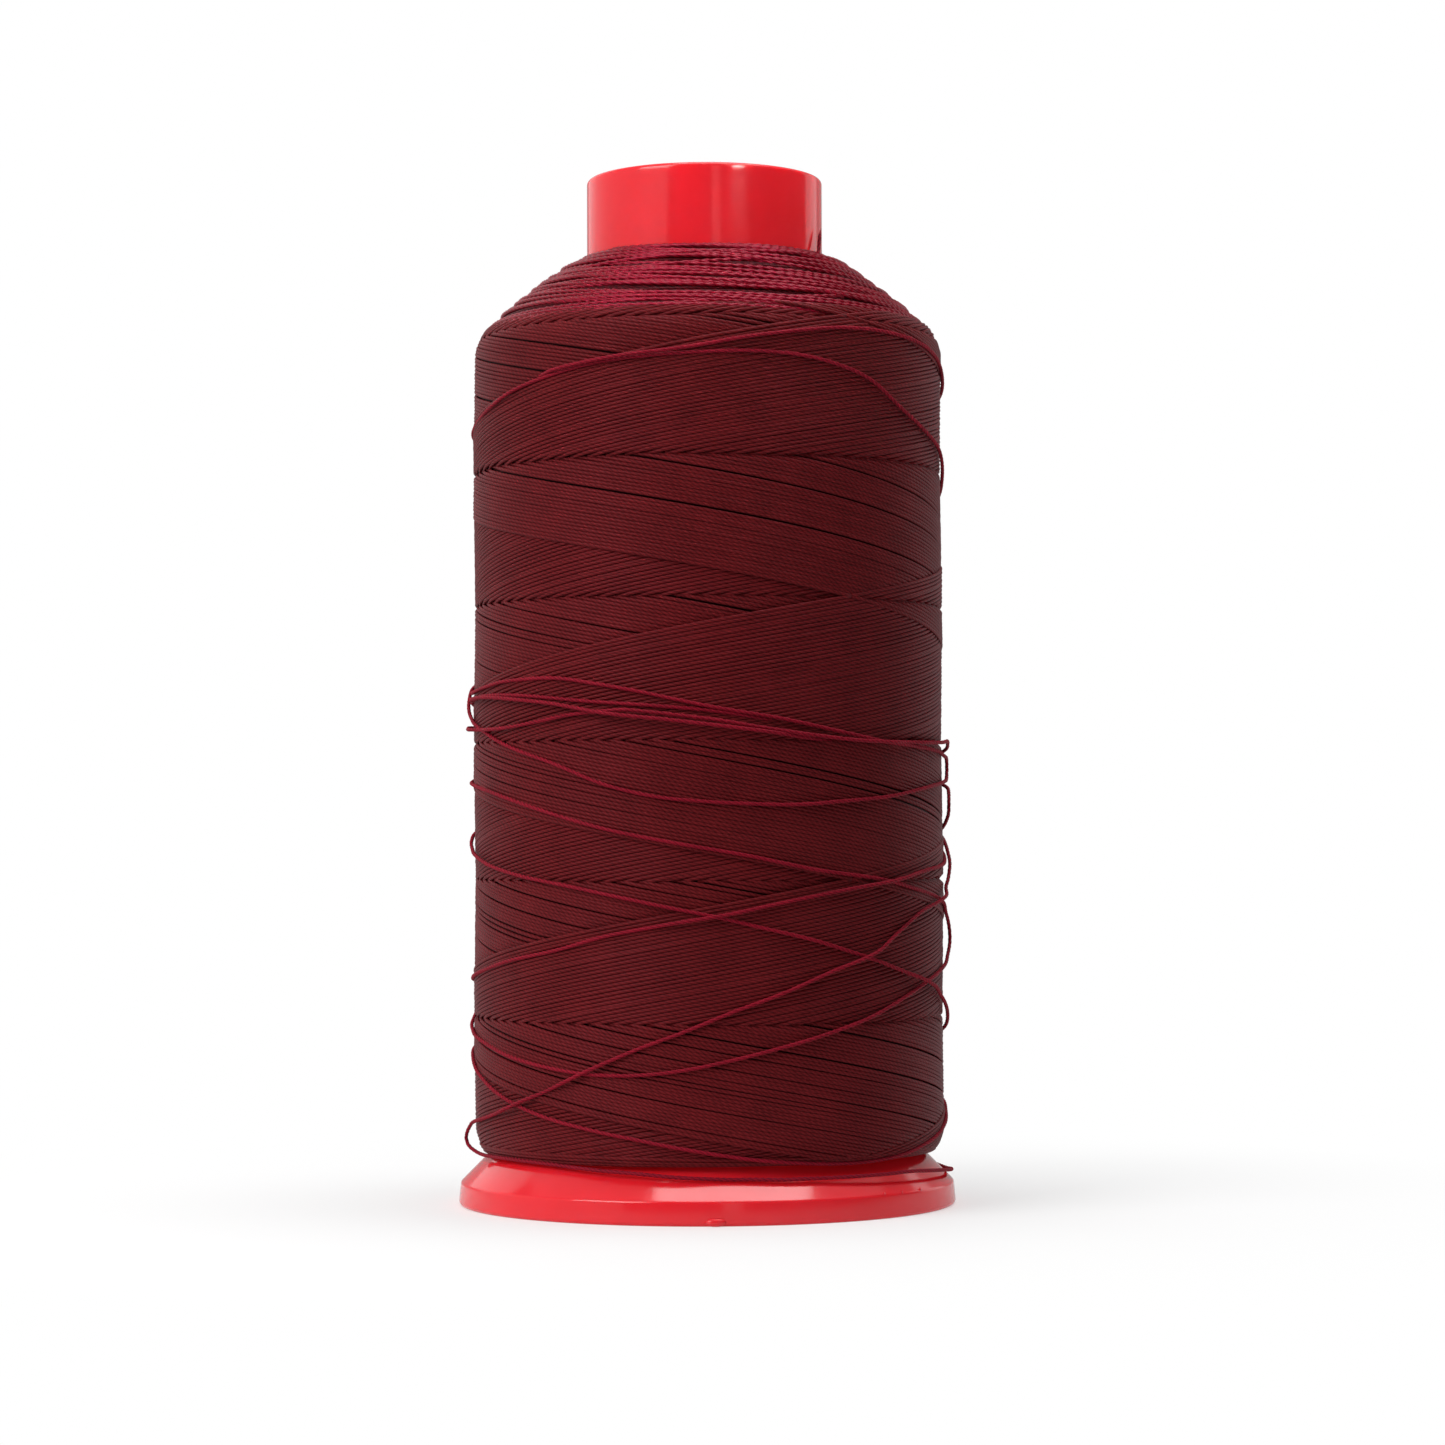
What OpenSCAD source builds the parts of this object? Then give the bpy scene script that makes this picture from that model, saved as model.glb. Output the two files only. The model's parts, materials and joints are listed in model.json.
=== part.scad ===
/* [Core] */
// Overall height of the moulded core
core_h = 123.5; // [118:0.5:135]
// Outside diameter of the barrel
barrel_od = 28.5; // [27.5:0.1:30]
// Diameter of the through bore
bore_d = 25.8; // [24.5:0.1:26.2]
// Outside diameter of the foot where it meets the table
foot_od = 59.7; // [58:0.1:64]
// Height of the upright band around the foot
band_h = 2.7; // [2:0.1:3.2]
// Inward draft of the band, from its base to its top
band_draft = 0.2; // [0:0.05:0.4]
// Moulded wall thickness
wall_t = 1.4; // [1.2:0.1:1.6]
// Radius of the edges that a hand meets
edge_r = 0.5; // [0.3:0.1:0.6]

/* [Thread] */
// Diameter of the thread
thread_d = 0.45; // [0.35:0.01:0.5]
// Outside diameter of the wound package, loose outer turns included
package_od = 56.2; // [52:0.2:57]
// Height where the package starts to close in towards the shoulder
shoulder_z = 101.6; // [90:0.2:104]
// Radius of the package's corner at the shoulder
shoulder_r = 5.2; // [4:0.1:7]
// Radius of the slightly domed shoulder, seen from the side
dome_r = 72; // [60:1:90]
// Angle at which the corner runs into the shoulder
corner_a = 47; // [44:0.5:50]
// Radius of the package's lower corner
heel_r = 5.5; // [5:0.1:6.5]
// Height of the lower corner's centre
heel_z = 9.8; // [9.4:0.1:10.5]
// Angle that the lower corner turns through
heel_a = 36; // [34:1:38]

/* [Hidden] */
$fn = 128;
arc_n = 12;
tube_sides = 8;

barrel_r = barrel_od / 2;
bore_r = bore_d / 2;
foot_r = foot_od / 2;
band_top_r = foot_r - band_draft;
// The foot's top slopes at 45 degrees, so radius plus height is the same all the way up it.
slope_sum = band_top_r + band_h;
inner_slope_sum = slope_sum - wall_t * sqrt(2);
inner_band_r = foot_r - wall_t;

skin_r = package_od / 2;
heel_c = [skin_r - heel_r, heel_z];
corner_c = [skin_r - shoulder_r, shoulder_z];
dome_c = corner_c - (dome_r - shoulder_r) * [cos(corner_a), sin(corner_a)];

// Route of the loose last turn: a loop beside the package, then once round under its lower edge.
// Each point is [degrees round from the front towards +X, radius, height].
tail_route = [
    [-80, 28.1, 10.1], [-83, 28.7, 9.4], [-85, 29.2, 8.5], [-86, 29.4, 7.7], [-85.5, 29, 6.9],
    [-83, 28.1, 6.4], [-79, 27.5, 6], [-72, 27.2, 5.8], [-62, 27.2, 5.8], [-52, 27.2, 5.9],
    [-42, 27.2, 6], [-33, 27.3, 6], [-25, 27.6, 6], [-16, 27.8, 5.8], [-8, 27.9, 5.5],
    [0, 27.9, 5.2], [6, 28, 4.9], [11, 28.3, 4.6], [17, 28.4, 4.9], [24, 28.5, 5.1],
    [34, 28.6, 5.1], [45, 28.7, 5.1], [56, 28.8, 5], [66, 29, 4.7], [75, 29.1, 4.4],
    [83, 29.3, 4.2], [90, 29.4, 4.1], [97, 29.3, 4.1], [105, 28.9, 4.4], [113, 28.3, 4.9],
    [120, 27.7, 5.6], [127, 27.1, 6.3]
];
tail_rings = 76;
// Route of the short end that stands against the barrel, from the top turns to its tip.
end_route = [
    [61, 15.2, 113], [64, 15.1, 113.6], [66, 15, 114.4], [67.5, 14.9, 115.3], [69, 14.85, 116.2],
    [71, 14.8, 116.9]
];
end_rings = 8;

function polar(p) = [p[1] * sin(p[0]), -p[1] * cos(p[0]), p[2]];
function unit(v) = v / norm(v);
function reversed(list) = [for (i = [len(list) - 1 : -1 : 0]) list[i]];
function arc(c, r, a0, a1) =
    [for (i = [0 : arc_n]) let (a = a0 + (a1 - a0) * i / arc_n) c + r * [cos(a), sin(a)]];

// Outline of the package below and above its corner, sunk inwards by a whole number of turns.
function side_line(sink) = concat(arc(heel_c, heel_r - sink, -heel_a, 0), [corner_c + [shoulder_r - sink, 0]]);
function shoulder_line(sink) = concat(
    arc(corner_c, shoulder_r - sink, 0, corner_a),
    arc(dome_c, dome_r - sink, corner_a + 1, acos((barrel_r - dome_c[0]) / (dome_r - sink)))
);

// Smooth curve through a route's points, and its direction, at a position counted in points.
function route_point(route, i) = polar(route[max(0, min(len(route) - 1, i))]);
function route_at(route, u) =
    let (
        i = min(floor(u), len(route) - 2), t = u - i,
        a = route_point(route, i - 1), b = route_point(route, i),
        c = route_point(route, i + 1), d = route_point(route, i + 2)
    )
    b + 0.5 * t * (c - a + t * (2 * a - 5 * b + 4 * c - d + t * (3 * (b - c) + d - a)));
function heading(route, u, last) =
    unit(route_at(route, min(u + 0.05, last)) - route_at(route, max(u - 0.05, 0)));
function squared(n, t) = unit(n - (n * t) * t);

// Closed tube along a route: each ring's frame is carried on from the ring before.
module swept_thread(route, rings) {
    last = len(route) - 1;
    steps = [for (k = [0 : rings - 1]) last * k / (rings - 1)];
    centres = [for (u = steps) route_at(route, u)];
    headings = [for (u = steps) heading(route, u, last)];
    normals = [
        for (k = 0, n = squared([0, 0.1, 1], headings[0]); k < rings;
             k = k + 1, n = squared(n, headings[min(k, rings - 1)])) n
    ];
    points = [
        for (k = [0 : rings - 1], s = [0 : tube_sides - 1])
            let (a = 360 * s / tube_sides, side = cross(headings[k], normals[k]))
            centres[k] + thread_d / 2 * (cos(a) * normals[k] + sin(a) * side)
    ];
    walls = [
        for (k = [0 : rings - 2], s = [0 : tube_sides - 1])
            let (p = k * tube_sides, q = p + tube_sides, n = (s + 1) % tube_sides)
            [p + s, q + s, q + n, p + n]
    ];
    start_cap = [for (s = [0 : tube_sides - 1]) s];
    end_cap = [for (s = [tube_sides - 1 : -1 : 0]) (rings - 1) * tube_sides + s];
    polyhedron(points, concat(walls, [start_cap, end_cap]), convexity = 10);
}

// One moulding: an open barrel that flares out into a hollow foot.
module spool_core() {
    rim_in_r = edge_r / 2;
    color("#d92a33")
        rotate_extrude()
            polygon(concat(
                [[inner_band_r, 0]],
                arc([foot_r - edge_r, edge_r], edge_r, -90, 0),
                arc([band_top_r - edge_r, band_h - edge_r * tan(22.5)], edge_r, 0, 45),
                [[barrel_r, slope_sum - barrel_r]],
                arc([barrel_r - edge_r, core_h - edge_r], edge_r, 0, 90),
                arc([bore_r + rim_in_r, core_h - rim_in_r], rim_in_r, 90, 180),
                [[bore_r, inner_slope_sum - bore_r], [inner_band_r, inner_slope_sum - inner_band_r]]
            ));
}

// The tightly wound thread, built up from the barrel and down on to the foot's slope.
module thread_package() {
    side = side_line(thread_d);
    foot_line_r = slope_sum - side[0][1];
    color("#5c161d")
        rotate_extrude()
            polygon(concat(
                [[barrel_r, slope_sum - barrel_r], [min(foot_line_r, side[0][0]), slope_sum - foot_line_r]],
                side,
                shoulder_line(thread_d)
            ));
}

// The last layer of turns on the straight side, some of them slack.
module outer_turns() {
    color("#6b1a22")
        rotate_extrude()
            polygon(concat(side_line(0), reversed(side_line(thread_d))));
}

// The last layer of turns over the shoulder.
module shoulder_turns() {
    color("#8c1c2e")
        rotate_extrude()
            polygon(concat(shoulder_line(0), reversed(shoulder_line(thread_d))));
}

// The slack last turn that has dropped to the foot.
module thread_tail() {
    color("#7a2030") swept_thread(tail_route, tail_rings);
}

// The starting end of the thread, standing up against the barrel.
module thread_end() {
    color("#5c0f18") swept_thread(end_route, end_rings);
}

spool_core();
thread_package();
outer_turns();
shoulder_turns();
thread_tail();
thread_end();
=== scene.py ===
"""The looks of a king spool of thread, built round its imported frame."""

import json
import math

import bpy
import numpy as np
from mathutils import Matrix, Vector


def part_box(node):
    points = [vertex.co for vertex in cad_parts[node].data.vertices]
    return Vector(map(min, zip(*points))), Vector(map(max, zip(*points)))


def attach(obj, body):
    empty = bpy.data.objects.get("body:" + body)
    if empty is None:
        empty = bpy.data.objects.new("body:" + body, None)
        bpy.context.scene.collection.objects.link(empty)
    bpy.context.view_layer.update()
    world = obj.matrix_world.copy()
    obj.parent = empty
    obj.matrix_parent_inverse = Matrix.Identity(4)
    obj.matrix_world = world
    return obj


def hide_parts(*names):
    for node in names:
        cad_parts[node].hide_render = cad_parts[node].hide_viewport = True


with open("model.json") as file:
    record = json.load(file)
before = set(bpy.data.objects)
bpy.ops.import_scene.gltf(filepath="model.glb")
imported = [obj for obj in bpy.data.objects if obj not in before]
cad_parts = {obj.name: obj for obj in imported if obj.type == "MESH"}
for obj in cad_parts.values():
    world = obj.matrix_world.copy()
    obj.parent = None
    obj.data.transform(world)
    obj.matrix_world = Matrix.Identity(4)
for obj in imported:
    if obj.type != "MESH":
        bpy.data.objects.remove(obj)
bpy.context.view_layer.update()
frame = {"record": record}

MM = 0.001
PHOTO_SIDE = 1445  # px
rng = np.random.default_rng(20)

# ---- sizes, read from the frame ---------------------------------------------------------------

core_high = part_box("spool_core")[1]
package_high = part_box("thread_package")[1]
side_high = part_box("outer_turns")[1]
bore = next(m for m in frame["record"]["mounts"] if m["name"] == "through_bore")

FOOT_R = core_high.x
CORE_H = core_high.z
SKIN_R = side_high.x
THREAD_D = side_high.x - package_high.x
THREAD_R = THREAD_D / 2
BORE_R = bore["dims"]["r_mm"] * MM
BARREL_R = 14.25 * MM

# The foot's upright band, and the slope above it where radius plus height stays the same.
BAND_H = 2.7 * MM
BAND_DRAFT = 0.2 * MM
WALL = 1.4 * MM
EDGE_R = 0.5 * MM
BAND_TOP_R = FOOT_R - BAND_DRAFT
SLOPE_SUM = BAND_TOP_R + BAND_H
INNER_SLOPE_SUM = SLOPE_SUM - WALL * math.sqrt(2)

# The package's outline: heel, straight side, corner and slightly domed shoulder. The names in _END
# are distances up the outline, and the others are radii, heights and angles.
HEEL_R = 5.5 * MM
HEEL_Z = 9.8 * MM
HEEL_A = math.radians(36)
HEEL_END = HEEL_Z - HEEL_R * HEEL_A
SHOULDER_Z = side_high.z
CORNER_R = 5.2 * MM
CORNER_A = math.radians(47)
DOME_R = 72 * MM
CORNER_END = SHOULDER_Z + CORNER_R * CORNER_A
DOME_X = SKIN_R - CORNER_R - (DOME_R - CORNER_R) * math.cos(CORNER_A)
DOME_Z = SHOULDER_Z - (DOME_R - CORNER_R) * math.sin(CORNER_A)
DOME_END = CORNER_END + DOME_R * (math.acos((BARREL_R - DOME_X) / DOME_R) - CORNER_A)

# How the thread is wound: the rise in one turn, the step between neighbours, and the heights at
# the front where the newest turn of each lean passes.
TURN_RISE = 32.55 * MM
NEIGHBOURS = 73
STEP = TURN_RISE / NEIGHBOURS
NEWEST_FALLING = 74.85 * MM
NEWEST_RISING = 68.4 * MM

# The newest turns stand a little proud of the CAD skin, and the oldest that show lie below it.
PROUD = 0.28 * MM
LAYER_DEPTH = 0.35 * MM

# The package sits a little off the core's axis, towards +X.
PACKAGE_SHIFT = 0.27 * MM


# ---- camera -----------------------------------------------------------------------------------


def make_camera():
    """In front of the spool and near the table. focal_px is the focal length, and axis_px the place
    of the spool's axis across the image, both in pixels."""
    distance, height = 0.46, 0.0435
    focal_px, axis_px = 3804, 706.4
    tilt_degrees, roll_degrees = 1.78, 0.19
    data = bpy.data.cameras.new("camera")
    data.sensor_width = 36
    data.lens = data.sensor_width * focal_px / PHOTO_SIDE
    data.clip_start = 0.01
    camera = bpy.data.objects.new("camera", data)
    camera.location = (0, -distance, height)
    yaw = -math.atan((PHOTO_SIDE / 2 - axis_px) / focal_px)
    pitch, roll = math.radians(90 + tilt_degrees), math.radians(roll_degrees)
    camera.rotation_euler = (pitch, roll, yaw)
    bpy.context.collection.objects.link(camera)
    bpy.context.scene.camera = camera


make_camera()


# ---- geometry helpers -------------------------------------------------------------------------


def smoothstep(x):
    """Rises smoothly from zero at zero to one at one, and is flat outside."""
    x = np.clip(x, 0, 1)
    return x * x * (3 - 2 * x)


def on_package(angle, along, sink):
    """Points and outward normals on the package. angle is in degrees round from the front towards
    +X, along is the distance up its outline, which is the height on the straight side, and sink
    is the depth below its skin."""
    angle, along, sink = np.broadcast_arrays(np.radians(angle), along, sink)
    heel = (along - HEEL_Z) / HEEL_R
    corner = (along - SHOULDER_Z) / CORNER_R
    dome = CORNER_A + (along - CORNER_END) / DOME_R
    lean = np.where(along < HEEL_Z, heel, 0.0)
    lean = np.where(along > SHOULDER_Z, corner, lean)
    lean = np.where(along > CORNER_END, dome, lean)
    radius = SKIN_R - sink
    height = along + 0.0
    below, above, top = along < HEEL_Z, along > SHOULDER_Z, along > CORNER_END
    for where, middle_x, middle_z, bend in (
        (below, SKIN_R - HEEL_R, HEEL_Z, HEEL_R),
        (above, SKIN_R - CORNER_R, SHOULDER_Z, CORNER_R),
        (top, DOME_X, DOME_Z, DOME_R),
    ):
        radius = np.where(where, middle_x + (bend - sink) * np.cos(lean), radius)
        height = np.where(where, middle_z + (bend - sink) * np.sin(lean), height)
    across, back = radius * np.sin(angle) + PACKAGE_SHIFT, -radius * np.cos(angle)
    points = np.stack([across, back, height], 1)
    flat = np.cos(lean)
    normals = np.stack([flat * np.sin(angle), -flat * np.cos(angle), np.sin(lean)], 1)
    return points, normals


def curve_through(route, step):
    """Evenly spaced points of a Catmull-Rom curve through a route's points."""
    route = np.asarray(route, float)
    ends = np.vstack([2 * route[0] - route[1], route, 2 * route[-1] - route[-2]])
    fine = []
    samples = 24
    t = np.linspace(0, 1, samples, endpoint=False)[:, None]
    for a, b, c, d in zip(ends, ends[1:], ends[2:], ends[3:]):
        bend = 2 * a - 5 * b + 4 * c - d + t * (3 * (b - c) + d - a)
        fine.append(b + 0.5 * t * (c - a + t * bend))
    fine = np.vstack([*fine, route[-1:]])
    length = np.concatenate([[0], np.cumsum(np.linalg.norm(np.diff(fine, axis=0), axis=1))])
    even = np.linspace(0, length[-1], max(4, round(length[-1] / step)))
    return np.stack([np.interp(even, length, fine[:, i]) for i in range(3)], 1)


def mesh_object(name, points, loops, sizes, uvs=None):
    """A smooth mesh object from flat arrays: its corners' vertex numbers and its faces' sizes."""
    mesh = bpy.data.meshes.new(name)
    mesh.vertices.add(len(points))
    mesh.vertices.foreach_set("co", np.asarray(points, np.float32).ravel())
    mesh.loops.add(len(loops))
    mesh.loops.foreach_set("vertex_index", np.asarray(loops, np.int32))
    mesh.polygons.add(len(sizes))
    starts = np.concatenate([[0], np.cumsum(sizes)[:-1]])
    mesh.polygons.foreach_set("loop_start", starts.astype(np.int32))
    mesh.polygons.foreach_set("use_smooth", np.ones(len(sizes), bool))
    for layer, coordinates in (uvs or {}).items():
        made = mesh.uv_layers.new(name=layer)
        made.data.foreach_set("uv", np.asarray(coordinates, np.float32).ravel())
    mesh.update(calc_edges=True)
    mesh.validate()
    piece = bpy.data.objects.new(name, mesh)
    bpy.context.collection.objects.link(piece)
    return piece


def thread_object(name, lines, radius, sides, plies=0.0, twist=2.4 * MM, flat=1.0, taper=0.0):
    """Closed tubes of thread along lines, each a pair of points and outward normals. plies is how
    deeply the three plies are cut into the section, which turns once in each twist. flat is how
    thick the section is for its width. Over the length taper, the far end thins to end_size.

    The thread UV counts twists along and turns around. The bake UV lays all the thread out as one
    tape, cut into rows that fill the unit square."""
    points, loops, sizes, thread_uv, bake_uv = [], [], [], [], []
    round_angles = np.arange(sides) * 2 * np.pi / sides
    total = sum(np.linalg.norm(np.diff(p, axis=0), axis=1).sum() for p, _ in lines)
    end_size = 0.2
    row_spacing, row_fill, spare_room, cap_size = 1.2, 0.97, 1.05, 0.1
    strip = 2 * np.pi * radius
    scale = 1 / math.sqrt(row_spacing * strip * total * spare_room)
    strip_h, row_h, row_length = strip * scale, row_spacing * strip * scale, row_fill / scale
    tape = 0.0
    first = 0
    for centres, normals in lines:
        count = len(centres)
        gaps = np.linalg.norm(np.diff(centres, axis=0), axis=1)
        length = np.concatenate([[0], np.cumsum(gaps)])
        ahead = np.gradient(centres, axis=0)
        ahead /= np.linalg.norm(ahead, axis=1)[:, None]
        across = np.cross(ahead, normals)
        across /= np.linalg.norm(across, axis=1)[:, None]
        out = np.cross(across, ahead)
        start_turn = rng.uniform(0, 2 * np.pi)
        turn = start_turn + 2 * np.pi * length / twist if plies else np.zeros(count)
        angles = round_angles[None, :] + turn[:, None]
        size = radius * (1 + plies * np.cos(3 * round_angles))[None, :]
        if taper:
            shrink = smoothstep((length[-1] - length) / taper) * (1 - end_size) + end_size
            size = size * shrink[:, None]
        ring = (
            centres[:, None, :]
            + (flat * size * np.cos(angles))[:, :, None] * out[:, None, :]
            + (size * np.sin(angles))[:, :, None] * across[:, None, :]
        )
        points.append(ring.reshape(-1, 3))
        i, j = np.meshgrid(np.arange(count - 1), np.arange(sides), indexing="ij")
        i, j = i.ravel(), j.ravel()
        a = first + i * sides + j
        b = first + i * sides + (j + 1) % sides
        loops.append(np.stack([a, b, b + sides, a + sides], 1).ravel())
        sizes.append(np.full(len(i), 4))
        loops.append(first + np.arange(sides)[::-1])
        loops.append(first + (count - 1) * sides + np.arange(sides))
        sizes.append(np.array([sides, sides]))

        phase = np.zeros(count) if plies else length / twist + start_turn / (2 * np.pi)
        u0, u1 = phase[i], phase[i + 1]
        v0, v1 = j / sides, (j + 1) / sides
        thread_uv.append(np.stack([u0, v0, u0, v1, u1, v1, u1, v0], 1).reshape(-1, 2))
        thread_uv.append(np.tile([[0.0, 0.0]], (2 * sides, 1)))
        position = tape + length[i]
        row = np.floor(position / row_length)
        s0 = (position - row * row_length) * scale
        s1 = s0 + gaps[i] * scale
        t0 = row * row_h + v0 * strip_h
        t1 = row * row_h + v1 * strip_h
        bake_uv.append(np.stack([s0, t0, s0, t1, s1, t1, s1, t0], 1).reshape(-1, 2))
        cap = np.stack([np.cos(round_angles), np.sin(round_angles)], 1) * cap_size * strip_h
        for k, order in ((0, slice(None, None, -1)), (-1, slice(None))):
            bake_uv.append(cap[order] + [[(s0[k] + s1[k]) / 2, (t0[k] + t1[k]) / 2]])
        tape += length[-1]
        first += count * sides
    return mesh_object(
        name,
        np.vstack(points),
        np.concatenate(loops),
        np.concatenate(sizes),
        {"thread": np.vstack(thread_uv), "OFBake": np.vstack(bake_uv)},
    )


def lathe_object(name, outline, segments):
    """A closed surface of revolution about Z from an outline of radius and height."""
    outline = np.asarray(outline)
    turns = np.arange(segments) * 2 * np.pi / segments
    count = len(outline)
    points = np.stack(
        [
            (outline[:, 0][None, :] * np.sin(turns)[:, None]).ravel(),
            (-outline[:, 0][None, :] * np.cos(turns)[:, None]).ravel(),
            np.tile(outline[:, 1], segments),
        ],
        1,
    )
    i, j = np.meshgrid(np.arange(segments), np.arange(count), indexing="ij")
    i, j = i.ravel(), j.ravel()
    after, above = (i + 1) % segments, (j + 1) % count
    loops = np.stack([i * count + j, after * count + j, after * count + above, i * count + above], 1)
    return mesh_object(name, points, loops.ravel(), np.full(len(loops), 4))


def arc(centre, radius, start, end, steps=10):
    """Points of an arc in an outline, from one angle in degrees to another."""
    turns = np.radians(np.linspace(start, end, steps + 1))
    return [(centre[0] + radius * math.cos(a), centre[1] + radius * math.sin(a)) for a in turns]


# ---- materials --------------------------------------------------------------------------------


class Nodes:
    """A small helper that adds nodes to a material and links them."""

    def __init__(self, name):
        self.material = bpy.data.materials.new(name)
        self.material.use_nodes = True
        self.tree = self.material.node_tree
        self.shader = self.tree.nodes["Principled BSDF"]

    def add(self, kind, **values):
        node = self.tree.nodes.new("ShaderNode" + kind)
        for key, value in values.items():
            setattr(node, key, value)
        return node

    def link(self, source, target):
        self.tree.links.new(source, target)

    def math(self, operation, a, b=None):
        node = self.add("Math", operation=operation)
        for socket, value in zip(node.inputs, (a, b)):
            if value is None:
                continue
            if isinstance(value, (int, float)):
                socket.default_value = value
            else:
                self.link(value, socket)
        return node.outputs[0]

    def noise(self, vector, scale, detail, roughness):
        node = self.add("TexNoise")
        node.inputs["Scale"].default_value = scale
        node.inputs["Detail"].default_value = detail
        node.inputs["Roughness"].default_value = roughness
        self.link(vector, node.inputs["Vector"])
        return node.outputs["Fac"]

    def ramp(self, source, first, last):
        node = self.add("ValToRGB")
        for element, (place, colour) in zip(node.color_ramp.elements, (first, last)):
            element.position = place
            element.color = (*colour, 1)
        self.link(source, node.inputs["Fac"])
        return node.outputs["Color"]

    def scaled(self, vector, scale):
        node = self.add("Mapping")
        node.inputs["Scale"].default_value = scale
        self.link(vector, node.inputs["Vector"])
        return node.outputs["Vector"]

    def bump(self, height, strength, distance, normal=None):
        node = self.add("Bump")
        node.inputs["Strength"].default_value = strength
        node.inputs["Distance"].default_value = distance
        self.link(height, node.inputs["Height"])
        if normal is not None:
            self.link(normal, node.inputs["Normal"])
        return node.outputs["Normal"]

    def set(self, **values):
        for key, value in values.items():
            self.shader.inputs[key.replace("_", " ")].default_value = value


def plastic_material():
    """Glossy moulded red polypropylene: soft mottling, fine mould ripples and hairline scratches."""
    n = Nodes("red_plastic")
    place = n.add("TexCoord").outputs["Object"]
    cloud = n.noise(place, 90, detail=3, roughness=0.6)
    deep_red, bright_red = (0.83, 0.013, 0.023), (0.89, 0.018, 0.031)
    n.link(n.ramp(cloud, (0.3, deep_red), (0.7, bright_red)), n.shader.inputs["Base Color"])
    lengthwise, level = (1, 1, 0.12), (0.02, 0.02, 1)
    scuffs = n.noise(n.scaled(place, lengthwise), 700, detail=4, roughness=0.7)
    smoothest, scuff_share = 0.06, 0.12
    rough = n.math("ADD", n.math("MULTIPLY", scuffs, scuff_share), smoothest)
    n.link(rough, n.shader.inputs["Roughness"])
    ripple = n.noise(n.scaled(place, level), 5200, detail=1, roughness=0.4)
    waves = n.noise(place, 160, detail=2, roughness=0.5)
    fine = n.bump(ripple, strength=0.04, distance=0.05 * MM)
    surface = n.bump(waves, strength=0.06, distance=0.4 * MM, normal=fine)
    n.link(surface, n.shader.inputs["Normal"])
    n.set(IOR=1.49, Specular_IOR_Level=0.5, Subsurface_Weight=0.4, Subsurface_Scale=0.004)
    n.shader.inputs["Subsurface Radius"].default_value = (1.0, 0.12, 0.08)
    return n.material


# The tints of the thread's gloss: pale rose on wound thread, and deep crimson on the shoulder.
EDGE_TINT = (1.0, 0.50, 0.62, 1)
GLOSS_TINT = (1.0, 0.05, 0.16, 1)
SHEEN_TINT = (1.0, 0.40, 0.58, 1)


def thread_material(
    name, dark, light, ply_depth, ply_shade=0.45, gloss=0.12, rough=0.36, tint=EDGE_TINT
):
    """Bonded three-ply thread: plies that wind round it, fine flecks and blotches, and a soft sheen.
    ply_depth is the strength of the plies' relief, and ply_shade how strongly the colour is painted
    darker in the grooves between the plies and lighter on their crests: painted shade and painted
    highlight. The flecks and blotches are random tone."""
    n = Nodes(name)
    uv = n.add("UVMap", uv_map="thread").outputs["UV"]
    split = n.add("SeparateXYZ")
    n.link(uv, split.inputs[0])
    along, around = split.outputs[0], split.outputs[1]
    plies, blotch_share, fleck_share = 3.0, 0.35, 0.3
    fleck_rough, fleck_relief, relief = 0.25, 0.35, 0.06 * MM
    turns = n.math("MULTIPLY", n.math("SUBTRACT", around, along), plies)
    ply = n.math("ABSOLUTE", n.math("COSINE", n.math("MULTIPLY", turns, math.pi)))
    place = n.add("TexCoord").outputs["Object"]
    blotch = n.noise(place, 260, detail=3, roughness=0.6)
    fleck = n.noise(place, 5200, detail=2, roughness=0.6)
    # Painted shade in the grooves between the plies and painted highlight on their crests, mixed with
    # random blotches and flecks of tone.
    shade = n.math("ADD", n.math("MULTIPLY", ply, ply_shade), n.math("MULTIPLY", blotch, blotch_share))
    shade = n.math("ADD", shade, n.math("MULTIPLY", fleck, fleck_share))
    n.link(n.ramp(shade, (0.25, dark), (0.85, light)), n.shader.inputs["Base Color"])
    roughness = n.math("ADD", n.math("MULTIPLY", fleck, fleck_rough), rough)
    n.link(roughness, n.shader.inputs["Roughness"])
    height = n.math("ADD", ply, n.math("MULTIPLY", fleck, fleck_relief))
    n.link(n.bump(height, ply_depth, relief), n.shader.inputs["Normal"])
    n.set(Specular_IOR_Level=gloss, Sheen_Weight=0.03, Sheen_Roughness=0.4)
    n.set(Sheen_Tint=SHEEN_TINT, Specular_Tint=tint)
    return n.material


RED_PLASTIC = plastic_material()
# The wound turns: the thread's own red, with the ply pattern painted in as shade and highlight.
WOUND = thread_material("wound_thread", (0.050, 0.0034, 0.0042), (0.182, 0.0122, 0.0148), 0.35)
# The loose strands are the same thread as the wound turns, coloured about twice as light for the light
# they catch: painted light.
SLACK_PAINTED_LIGHT = thread_material("slack_thread", (0.10, 0.0035, 0.009), (0.34, 0.009, 0.025), 0.4)
# The shoulder's hoops are the same thread, with their plies painted near black in the grooves and
# bright on the crests: strong painted shade and painted highlight.
ROPE = thread_material(
    "shoulder_thread",
    dark=(0.012, 0.0009, 0.0014),
    light=(0.22, 0.0046, 0.012),
    ply_depth=0.6,
    ply_shade=0.95,
    gloss=1.1,
    rough=0.22,
    tint=GLOSS_TINT,
)
# The bed under the shoulder's hoops is the same thread, coloured about half as light as the hoops:
# painted shade between them.
BED_PAINTED_SHADE = thread_material("bed_thread_painted_shade", (0.010, 0.0008, 0.0012), (0.10, 0.0028, 0.006), 0.5)
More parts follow.
